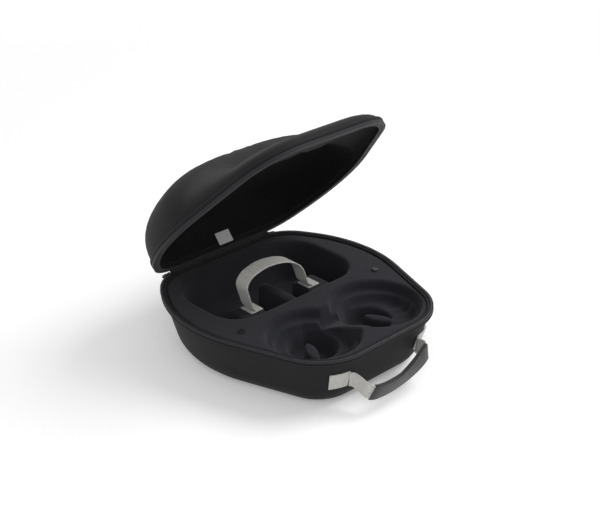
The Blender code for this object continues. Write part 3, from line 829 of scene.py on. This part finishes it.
# %% Lid lining
LINING_DEPTH = 5.1 * MM
LINING_THICK = 1.5 * MM
LINING_FOOT = 1.5
lid_lining = dome_skin("lid_lining_skin", LINING_FOOT)
apply(lid_lining, "DISPLACE", strength=-LINING_DEPTH, mid_level=0.0)
apply(lid_lining, "SOLIDIFY", thickness=LINING_THICK, offset=-1.0, use_even_offset=True)
lid_lining.data.transform(LID_TURN)
dress(lid_lining, LINING_CLOTH, "lid", ["lid_lining"], 60.0)

# %% [markdown]
# The lid's rim mirrors the base's: piping, tape, coil and loops, and a flat tape that covers the lining's raw
# edge. They use the sections of the base, upside down, and turn open with the lid.

# %% Lid piping, tape, coil and edge tape
LID_BEAD = [
    (0.9, 4.6), (0.35, 4.9), (0.05, 5.6), (0.0, 6.5), (0.05, 7.4),
    (0.35, 8.2), (0.9, 8.6), (2.1, 8.6), (2.0, 4.6),
]
LID_TAPE_SECTION = [(inset, height * 1.35) for inset, height in TAPE]
LID_EDGE = [(3.7, 0.6), (3.7, 1.9), (9.0, 1.9), (9.0, 0.6)]
rim_piece("lid_piping", LID_BEAD, LID_CLOTH, "lid_binding", 60.0, turn=LID_TURN)
rim_piece("lid_zip_tape_strip", LID_TAPE_SECTION, LID_TAPE, "lid_zip_tape", turn=LID_TURN)
rim_piece("lid_coil_core", COIL, COIL_NYLON, "lid_zip_coil", 60.0, turn=LID_TURN)
zip_loops("lid_coil_loops", LOOP_HEIGHT, "lid", LID_TURN)
rim_piece("lid_edge_strip", LID_EDGE, LID_TAPE, "lid_edge_tape", start=QUARTER, turn=LID_TURN)

# %% [markdown]
# ## Webbing
#
# A strip of webbing is a grid laid along a curve. A curve object with a flat bevel would twist by its own
# rule, so the grid's rows are placed here: the curve is a smooth line through a few points, and the strip's
# width follows a direction that may roll along the way. Its UV map is kept in metres, so the yarn in the
# finish is the same size on every strip.


# %% A strip along a line
def smooth_line(points, per_span):
    """Points on a smooth curve through a short list of them."""
    path = []
    padded = [points[0] * 2 - points[1], *points, points[-1] * 2 - points[-2]]
    for a, b, c, d in zip(padded, padded[1:], padded[2:], padded[3:]):
        for i in range(per_span):
            t = i / per_span
            curve = (c - a) * t + (2 * a - 5 * b + 4 * c - d) * t * t + (3 * b - a - 3 * c + d) * t ** 3
            path.append(b + curve / 2)
    path.append(points[-1])
    return path


def frames_along(path, wide_way):
    """At each point, its place, the way of the width and the way of the thickness."""
    frames = []
    for i, point in enumerate(path):
        along = (path[min(i + 1, len(path) - 1)] - path[max(i - 1, 0)]).normalized()
        up = wide_way(point)
        wide = (up - along * up.dot(along)).normalized()
        frames.append((point, wide, along.cross(wide)))
    return frames


def strip(name, frames, width, thick, across=6):
    """A grid laid along the frames, with its UV map in metres, thickened both ways."""
    deselect()
    rows = len(frames)
    bpy.ops.mesh.primitive_grid_add(x_subdivisions=rows - 1, y_subdivisions=across, size=1.0, calc_uvs=True)
    piece = bpy.context.object
    piece.name = name
    piece.data.name = name
    lengths = [0.0]
    for (here, _, _), (there, _, _) in zip(frames, frames[1:]):
        lengths.append(lengths[-1] + (there - here).length)
    where = {}
    for vert in piece.data.vertices:
        row = round((vert.co.x + 0.5) * (rows - 1))
        side = vert.co.y
        point, wide, _ = frames[row]
        where[vert.index] = (lengths[row], (side + 0.5) * width)
        vert.co = point + wide * (side * width)
    uv_map = piece.data.uv_layers[0]
    uv_map.name = "UVMap"
    for loop in piece.data.loops:
        uv_map.data[loop.index].uv = where[loop.vertex_index]
    apply(piece, "SOLIDIFY", thickness=thick, offset=0.0, use_even_offset=True)
    limit = math.radians(50)
    apply(piece, "BEVEL", width=0.35 * thick, segments=2, limit_method="ANGLE", angle_limit=limit)
    return piece


print("webbing is laid as strips")

# %% [markdown]
# A stitch is a short thread that dips into the cloth at both ends: a small flattened ball, made once. Its
# copies lie along each sewn line, turned to the line and to the way out of the cloth. Drawn in the finish
# alone they would vanish at a low angle.

# %% Rows of stitches
STITCH_WIDE = 0.24 * MM
STITCH_HIGH = 0.2 * MM


def sew(name, runs, pitch, body, thread):
    """Rows of stitches: each run is a list of points and the way out of the cloth along it."""
    deselect()
    bpy.ops.mesh.primitive_uv_sphere_add(segments=6, ring_count=4, radius=1.0)
    single = bpy.context.object
    size = Matrix.Diagonal((0.36 * pitch, STITCH_WIDE, STITCH_HIGH, 1.0))
    places = []
    for line, out in runs:
        for here, there in zip(line, line[1:]):
            count = max(1, round((there - here).length / pitch))
            along = (there - here).normalized()
            side = out.cross(along).normalized()
            turn = Matrix((along, side, along.cross(side))).transposed().to_4x4()
            for i in range(count):
                spot = here.lerp(there, (i + 0.5) / count)
                places.append(Matrix.Translation(spot) @ turn @ size)
    return dress(copies(name, single, places), thread, body, [], 80.0)


print("stitches are", 2 * STITCH_WIDE / MM, "mm wide")

# %% [markdown]
# ## The hold-down strap
#
# One length of webbing, sewn down on two ledges, arches over the rear hollow. It is slack, so it leans to the
# left. It is made in two halves that meet at the crown; the sewn ends are separate pieces on the base, and
# the two halves are given no body.

# %% Strap
STRAP_Y = 39 * MM
STRAP_LINE = [
    (-48.5, 53.6), (-51, 56.5), (-53, 60), (-59, 79), (-60.5, 89), (-54, 98), (-42, 102.5), (-27, 104.5),
    (-8, 102.5), (8, 97.5), (20, 90), (28.5, 80), (36, 60), (40, 56.5), (44, 53.6),
]
STRAP_STEPS = 5
CROWN = 7 * STRAP_STEPS
WEB_WIDTH = 20 * MM
WEB_THICK = 1.6 * MM


def to_the_back(point):
    return Vector((0.0, 1.0, 0.0))


strap_points = [Vector((x, 0.0, z)) * MM + Vector((0.0, STRAP_Y, 0.0)) for x, z in STRAP_LINE]
strap_frames = frames_along(smooth_line(strap_points, STRAP_STEPS), to_the_back)
strap_left = strip("strap_left_half", strap_frames[: CROWN + 1], WEB_WIDTH, WEB_THICK)
strap_right = strip("strap_right_half", strap_frames[CROWN:], WEB_WIDTH, WEB_THICK)
dress(strap_left, GREY_WEBBING, None, ["hold_down_strap", "strap_tail_left"])
dress(strap_right, GREY_WEBBING, None, ["strap_tail_right"])
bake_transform(strap_left)
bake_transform(strap_right)

# %% [markdown]
# Each end of the strap lies flat on its ledge and is sewn down with a box and a cross, as a load-bearing end
# is. The end is a straight strip in the place of its solid, and the stitches stand just proud of it.

# %% Strap ends on the ledges
UP = Vector((0, 0, 1))
END_STEPS = 12
SEW_INSET = 2.2 * MM
for side in ("left", "right"):
    low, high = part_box(f"strap_patch_{side}")
    middle = (low + high) / 2
    path = []
    for i in range(END_STEPS + 1):
        path.append(Vector((low.x + (high.x - low.x) * i / END_STEPS, middle.y, middle.z)))
    end = strip(f"strap_end_{side}", frames_along(path, to_the_back), WEB_WIDTH, WEB_THICK)
    dress(end, GREY_WEBBING, "base", [f"strap_patch_{side}"])
    top = high.z + 0.1 * MM
    corners = [
        Vector((low.x + SEW_INSET, low.y + SEW_INSET, top)),
        Vector((high.x - SEW_INSET, low.y + SEW_INSET, top)),
        Vector((high.x - SEW_INSET, high.y - SEW_INSET, top)),
        Vector((low.x + SEW_INSET, high.y - SEW_INSET, top)),
    ]
    runs = [([*corners, corners[0]], UP), (corners[::2], UP), (corners[1::2], UP)]
    sew(f"strap_stitches_{side}", runs, 2.0 * MM, "base", PALE_THREAD)

# %% [markdown]
# ## The handle
#
# The handle is webbing too. Its ends are sewn flat on the front wall, it bows out and sags under its own
# weight. The band leans out with the wall on the left and stands up towards the right, which the width's
# changing direction gives. Like the strap, it is two halves, and they are given no body.

# %% Handle webbing
HANDLE_PIVOT_Y = -146 * MM
HANDLE_ROOT_Y = -130.6 * MM
HANDLE_LINE = [
    (55.4, -130.6, 36.6), (52.0, -133.4, 36.7), (49.5, -139.0, 38.0), (48.5, -146.0, 40.0),
    (46.0, -151.5, 41.0), (39.5, -155.0, 39.0), (22.0, -156.5, 31.0), (0.0, -156.5, 24.0),
    (-24.0, -157.0, 23.5), (-40.0, -156.5, 25.5), (-47.5, -153.0, 28.0), (-50.0, -146.0, 32.0),
    (-51.0, -139.0, 35.0), (-52.5, -133.4, 36.4), (-55.4, -130.6, 36.6),
]
HANDLE_STEPS = 6
HALF = 7 * HANDLE_STEPS
ROLL_LEFT, ROLL_CHANGE, ROLL_OVER = -18, 26, 48 * MM


def up_handle(point):
    reach = min(max(point.x / ROLL_OVER, 0.0), 1.0)
    roll = math.radians(ROLL_LEFT + ROLL_CHANGE * reach)
    clear = HANDLE_PIVOT_Y + 2 * MM
    at_wall = min(max((clear - point.y) / (clear - HANDLE_ROOT_Y), 0.0), 1.0)
    lean = roll * (1 - at_wall) - WALL_DRAFT * at_wall
    return Vector((0.0, math.sin(lean), math.cos(lean)))


handle_path = smooth_line([Vector(p) * MM for p in HANDLE_LINE], HANDLE_STEPS)
handle_frames = frames_along(handle_path, up_handle)
web_right = strip("handle_right_half", handle_frames[: HALF + 1], WEB_WIDTH, WEB_THICK)
web_left = strip("handle_left_half", handle_frames[HALF:], WEB_WIDTH, WEB_THICK)
dress(web_right, GREY_WEBBING, None, ["handle_webbing", "handle_tail_right"])
dress(web_left, GREY_WEBBING, None, ["handle_tail_left"])
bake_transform(web_right)
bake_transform(web_left)

# %% [markdown]
# A black cloth sleeve is folded round the middle of the handle for a grip: round at the fold on top, flat at
# the sides, with a flat seam below. Its section is drawn as a ring at each step of the handle's line, and the
# rings are bridged into one skin and capped, as by hand. Two rows of dark stitches hold each side.

# %% Grip sleeve
GRIP_HEIGHT = 22.5 * MM
GRIP_THICK = 5.5 * MM
GRIP_HALF = 45 * MM
FOLD_POINTS = 8
SEAM_SIDE = [(-0.5, -0.30), (-0.40, -0.42), (-0.22, -0.5), (0.22, -0.5), (0.40, -0.42), (0.5, -0.30)]
SLEEVE_ROW, SLEEVE_PLACE = 2.2 * MM, 3.2 * MM


def grip_ring(frame_at):
    point, wide, flat = frame_at
    ring = []
    for i in range(FOLD_POINTS + 1):
        turn = math.pi * i / FOLD_POINTS
        up = GRIP_HEIGHT / 2 - GRIP_THICK / 2 + math.sin(turn) * GRIP_THICK / 2
        ring.append(point + wide * up + flat * math.cos(turn) * GRIP_THICK / 2)
    for across, down in SEAM_SIDE:
        ring.append(point + wide * (GRIP_HEIGHT * down) + flat * (GRIP_THICK * across))
    return ring


inside = [f for f in handle_frames if abs(f[0].x) <= GRIP_HALF]
rings = [grip_ring(f) for f in inside]
count = len(rings[0])
points = [p for ring in rings for p in ring]
edges = []
for first in range(0, len(points), count):
    edges += chain(count, True, first)
grip = drawn("grip_sleeve_fold", points, edges)
edit_all()
bpy.ops.mesh.bridge_edge_loops()
for first in (0, len(points) - count):
    pick(grip, lambda vert: first <= vert.index < first + count)
    bpy.ops.mesh.edge_face_add()
bpy.ops.object.mode_set(mode="OBJECT")
point_outwards(grip)
grip_uv = grip.data.uv_layers.new(name="UVMap")
for loop in grip.data.loops:
    row, place = divmod(loop.vertex_index, count)
    grip_uv.data[loop.index].uv = (row * SLEEVE_ROW, place * SLEEVE_PLACE)
dress(grip, GRIP_CLOTH, "handle", ["grip_sleeve"], 60.0)

# %% Grip stitches
SEWN_ROWS = (-0.36, 0.3)
SEWN_LIFT = 2.8 * MM
runs = []
for face in (-1, 1):
    for up in SEWN_ROWS:
        line = [p + wide * (up * GRIP_HEIGHT) + flat * (face * SEWN_LIFT) for p, wide, flat in inside[1:-1]]
        runs.append((line, inside[len(inside) // 2][2] * face))
sew("grip_stitches", runs, 2.4 * MM, "handle", DARK_THREAD)

# %% [markdown]
# The handle's ends are sewn on the front wall, where it is both curved and drafted. A flat patch would float
# or sink, so each row of the strip is placed on the wall itself. The box and cross of stitches follow the
# same wall, a little further out.

# %% Handle ends on the front wall
PATCH_FROM = math.radians(-81.0)
PATCH_TO = math.radians(-58.0)
PATCH_Z = 37 * MM
PATCH_HALF = 11 * MM
PATCH_STEPS = 14
PATCH_LIFT, STITCH_LIFT = 1.1 * MM, 2.0 * MM
BOX_ROUTE = [
    (0.1, -0.8), (0.5, -0.8), (0.9, -0.8), (0.9, 0.0), (0.9, 0.8),
    (0.5, 0.8), (0.1, 0.8), (0.1, 0.0), (0.1, -0.8),
]
CROSS_ROUTE = [(0.1, -0.8), (0.37, -0.27), (0.63, 0.27), (0.9, 0.8)]


def on_patch(sign, along, up, lift):
    """A point on the front corner of the wall, along and up the patch, lifted off it."""
    height = PATCH_Z + up * PATCH_HALF
    reach = FRONT_R - wall_inset(height) + lift / math.cos(WALL_DRAFT)
    spot = FRONT_CENTRE + facing_out(PATCH_FROM + (PATCH_TO - PATCH_FROM) * along) * reach
    return Vector((sign * spot.x, spot.y, height))


for side, sign in (("left", -1), ("right", 1)):
    frames = []
    for i in range(PATCH_STEPS + 1):
        low = on_patch(sign, i / PATCH_STEPS, -1, PATCH_LIFT)
        high = on_patch(sign, i / PATCH_STEPS, 1, PATCH_LIFT)
        frames.append(((low + high) / 2, (high - low).normalized(), None))
    end = strip(f"handle_end_{side}", frames, 2 * PATCH_HALF, WEB_THICK)
    dress(end, GREY_WEBBING, "base", [f"handle_patch_{side}"])
    out = facing_out((PATCH_FROM + PATCH_TO) / 2)
    out = Vector((sign * out.x, out.y, -math.tan(WALL_DRAFT))).normalized()
    other_cross = [(along, -up) for along, up in CROSS_ROUTE]
    runs = []
    for route in (BOX_ROUTE, CROSS_ROUTE, other_cross):
        runs.append(([on_patch(sign, along, up, STITCH_LIFT) for along, up in route], out))
    sew(f"handle_stitches_{side}", runs, 2.1 * MM, "base", PALE_THREAD)

# %% [markdown]
# ## The cloth hinge
#
# A single cloth joins the two halves along the straight back. Two panels would part at the hinge when the lid
# turns, so one strip runs from the base wall, over a soft roll at the hinge line, to the lid wall; it is
# given no body. Its section is drawn once and extruded along the back, and its ends are drawn in where the
# rear corners begin.

# %% Hinge cloth
HINGE_HALF = 80 * MM
HINGE_STEP = 5 * MM
HINGE_LIFT = 0.7 * MM
BASE_ROWS = (-14, -11, -8, -5.5, -3.6, -2.2)
ROLL_ROWS = ((-0.5, -1.0), (0.1, 0.1), (0.6, 1.0))
LID_ROWS = (2.2, 3.6, 5.5, 8, 11, 14)


def hinge_row(height):
    """A point of the hinge cloth's section: below 0 on the base, above 0 on the lid."""
    back = HINGE_LINE.y - HINGE_LIFT
    if height < 0:
        return Vector((0.0, back + height * math.tan(WALL_DRAFT), RIM_Z + height))
    return LID_TURN @ Vector((0.0, back, RIM_Z + height))


section = [hinge_row(height * MM) for height in BASE_ROWS]
section += [Vector((0.0, HINGE_LINE.y + y * MM, RIM_Z + z * MM)) for y, z in ROLL_ROWS]
section += [hinge_row(height * MM) for height in LID_ROWS]
hinge_points = [(-HINGE_HALF, row.y, row.z) for row in section]
hinge_cloth = drawn("hinge_cloth", hinge_points, chain(len(section)))
edit_all()
for _ in range(round(2 * HINGE_HALF / HINGE_STEP)):
    slide(HINGE_STEP, 0.0)
bpy.ops.object.mode_set(mode="OBJECT")
for vert in hinge_cloth.data.vertices:
    past = max(abs(vert.co.x) - REAR_CENTRE.x, 0.0)
    vert.co.y -= past * past / (2 * REAR_R)
apply(hinge_cloth, "SOLIDIFY", thickness=1.2 * MM, offset=0.0)
apply(hinge_cloth, "SUBSURF", levels=1, render_levels=1)
dress(hinge_cloth, BASE_TAPE, None, ["hinge_panel_base", "hinge_panel_lid"], 60.0)
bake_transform(hinge_cloth)

# %% [markdown]
# ## Small parts
#
# The studs, the zip sliders and their pulls already have their shape in the solids. They could be modelled
# again, but nothing would be gained, so they keep it and only get their finish.

# %% Studs, sliders and pulls
STUDS = ("wing_stud_left", "wing_stud_right")
ZIP_PARTS = ("zip_slider_left", "zip_slider_right", "zip_pull_left", "zip_pull_right")
for names, material in ((STUDS, STUD_PLASTIC), (ZIP_PARTS, ZIP_METAL)):
    for node in names:
        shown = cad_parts[node]
        shown.data.materials.clear()
        shown.data.materials.append(material)
print("finished:", *STUDS, *ZIP_PARTS)

# %% [markdown]
# The tag is a small woven label on the lining, left bare. It is a short strip, placed on the shut lid's rear
# wall and turned open with it.

# %% Tag
TAG_PLACE = Matrix.Translation((9 * MM, 140.2 * MM, RIM_Z + 12.6 * MM))
TAG_LEAN = Matrix.Rotation(math.radians(6.3), 4, "X")
TAG_TURN = LID_TURN @ TAG_PLACE @ TAG_LEAN
TAG_HEIGHT, TAG_THICK = 16 * MM, 0.8 * MM
path = [TAG_TURN @ Vector((x * MM, 0.0, 0.0)) for x in range(-11, 12, 2)]
upright = TAG_TURN.to_3x3() @ UP
tag = strip("woven_tag", frames_along(path, lambda point: upright), TAG_HEIGHT, TAG_THICK)
dress(tag, TAG_WEAVE, "lid", ["lid_tag"])

# %% [markdown]
# ## Floor and light
#
# A pale floor, a bright room and two soft lamps. More light would bleach the case along with the floor.
# Instead the floor fades to plain white further out, and the room is white to the camera, so the case stands
# on white with only its own soft shadow.

# %% Floor
WHITE = (1.0, 1.0, 1.0, 1.0)
FLOOR_PALE = (0.88, 0.88, 0.88, 1.0)
FADE_FROM, FADE_OVER = 0.50, 0.9


def shown_white(network):
    """1 for a ray that is seen, straight or in a gloss or glass, and 0 for one that only lights."""
    seen = network.node("ShaderNodeLightPath", {}, [], "Is Camera Ray")
    for kind in ("Is Glossy Ray", "Is Transmission Ray"):
        seen = seen.sum("MAXIMUM", seen, network.node("ShaderNodeLightPath", {}, [], kind))
    return seen


deselect()
bpy.ops.mesh.primitive_plane_add(size=60.0, location=(0, 0, 0))
floor = bpy.context.object
floor.name = "pale_floor"
paint = Finish("pale_floor_paint", Roughness=0.9, Specular_IOR_Level=0.1)
paint.shade(Base_Color=FLOOR_PALE, Emission_Color=WHITE, Emission_Strength=0.20)
distance = paint.node("ShaderNodeVectorMath", {"operation": "LENGTH"}, [paint.place()], "Value")
fade = ((distance - FADE_FROM) / FADE_OVER).clamped() * shown_white(paint)
glow = paint.node("ShaderNodeEmission", {}, [WHITE, 1.0])
near = Reading(paint, paint.shader.outputs[0])
far_white = paint.node("ShaderNodeMixShader", {}, [fade, near, glow])
paint.feed(paint.tree.nodes["Material Output"].inputs["Surface"], far_white)
floor.data.materials.append(paint.material)
print("floor fades from", FADE_FROM, "m")


# %% Lamps
def soft_lamp(name, place, aim, size, power):
    light = bpy.data.lights.new(name, "AREA")
    light.shape = "DISK"
    light.size = size
    light.energy = power
    lamp = bpy.data.objects.new(name, light)
    bpy.context.scene.collection.objects.link(lamp)
    lamp.location = place
    lamp.rotation_euler = (Vector(aim) - Vector(place)).to_track_quat("-Z", "Y").to_euler()
    print(name, power, "W")


CASE_MIDDLE = (0.0, 0.0, 0.1)
soft_lamp("key_softbox", (1.5, -0.7, 2.0), CASE_MIDDLE, 1.6, 38.0)
soft_lamp("fill_softbox", (-1.4, -1.6, 1.5), CASE_MIDDLE, 1.8, 14.0)

# %% Room
ROOM_LIGHT = 0.55
world = bpy.context.scene.world or bpy.data.worlds.new("white_room")
bpy.context.scene.world = world
world.use_nodes = True
world.node_tree.nodes.clear()
room = Network(world.node_tree)
lit = room.node("ShaderNodeBackground", {}, [WHITE, ROOM_LIGHT])
white = room.node("ShaderNodeBackground", {}, [WHITE, 1.0])
either = room.node("ShaderNodeMixShader", {}, [shown_white(room), lit, white])
room_end = room.tree.nodes.new("ShaderNodeOutputWorld")
room.feed(room_end.inputs["Surface"], either)
bpy.context.scene.view_settings.view_transform = "Standard"
print("stage set")
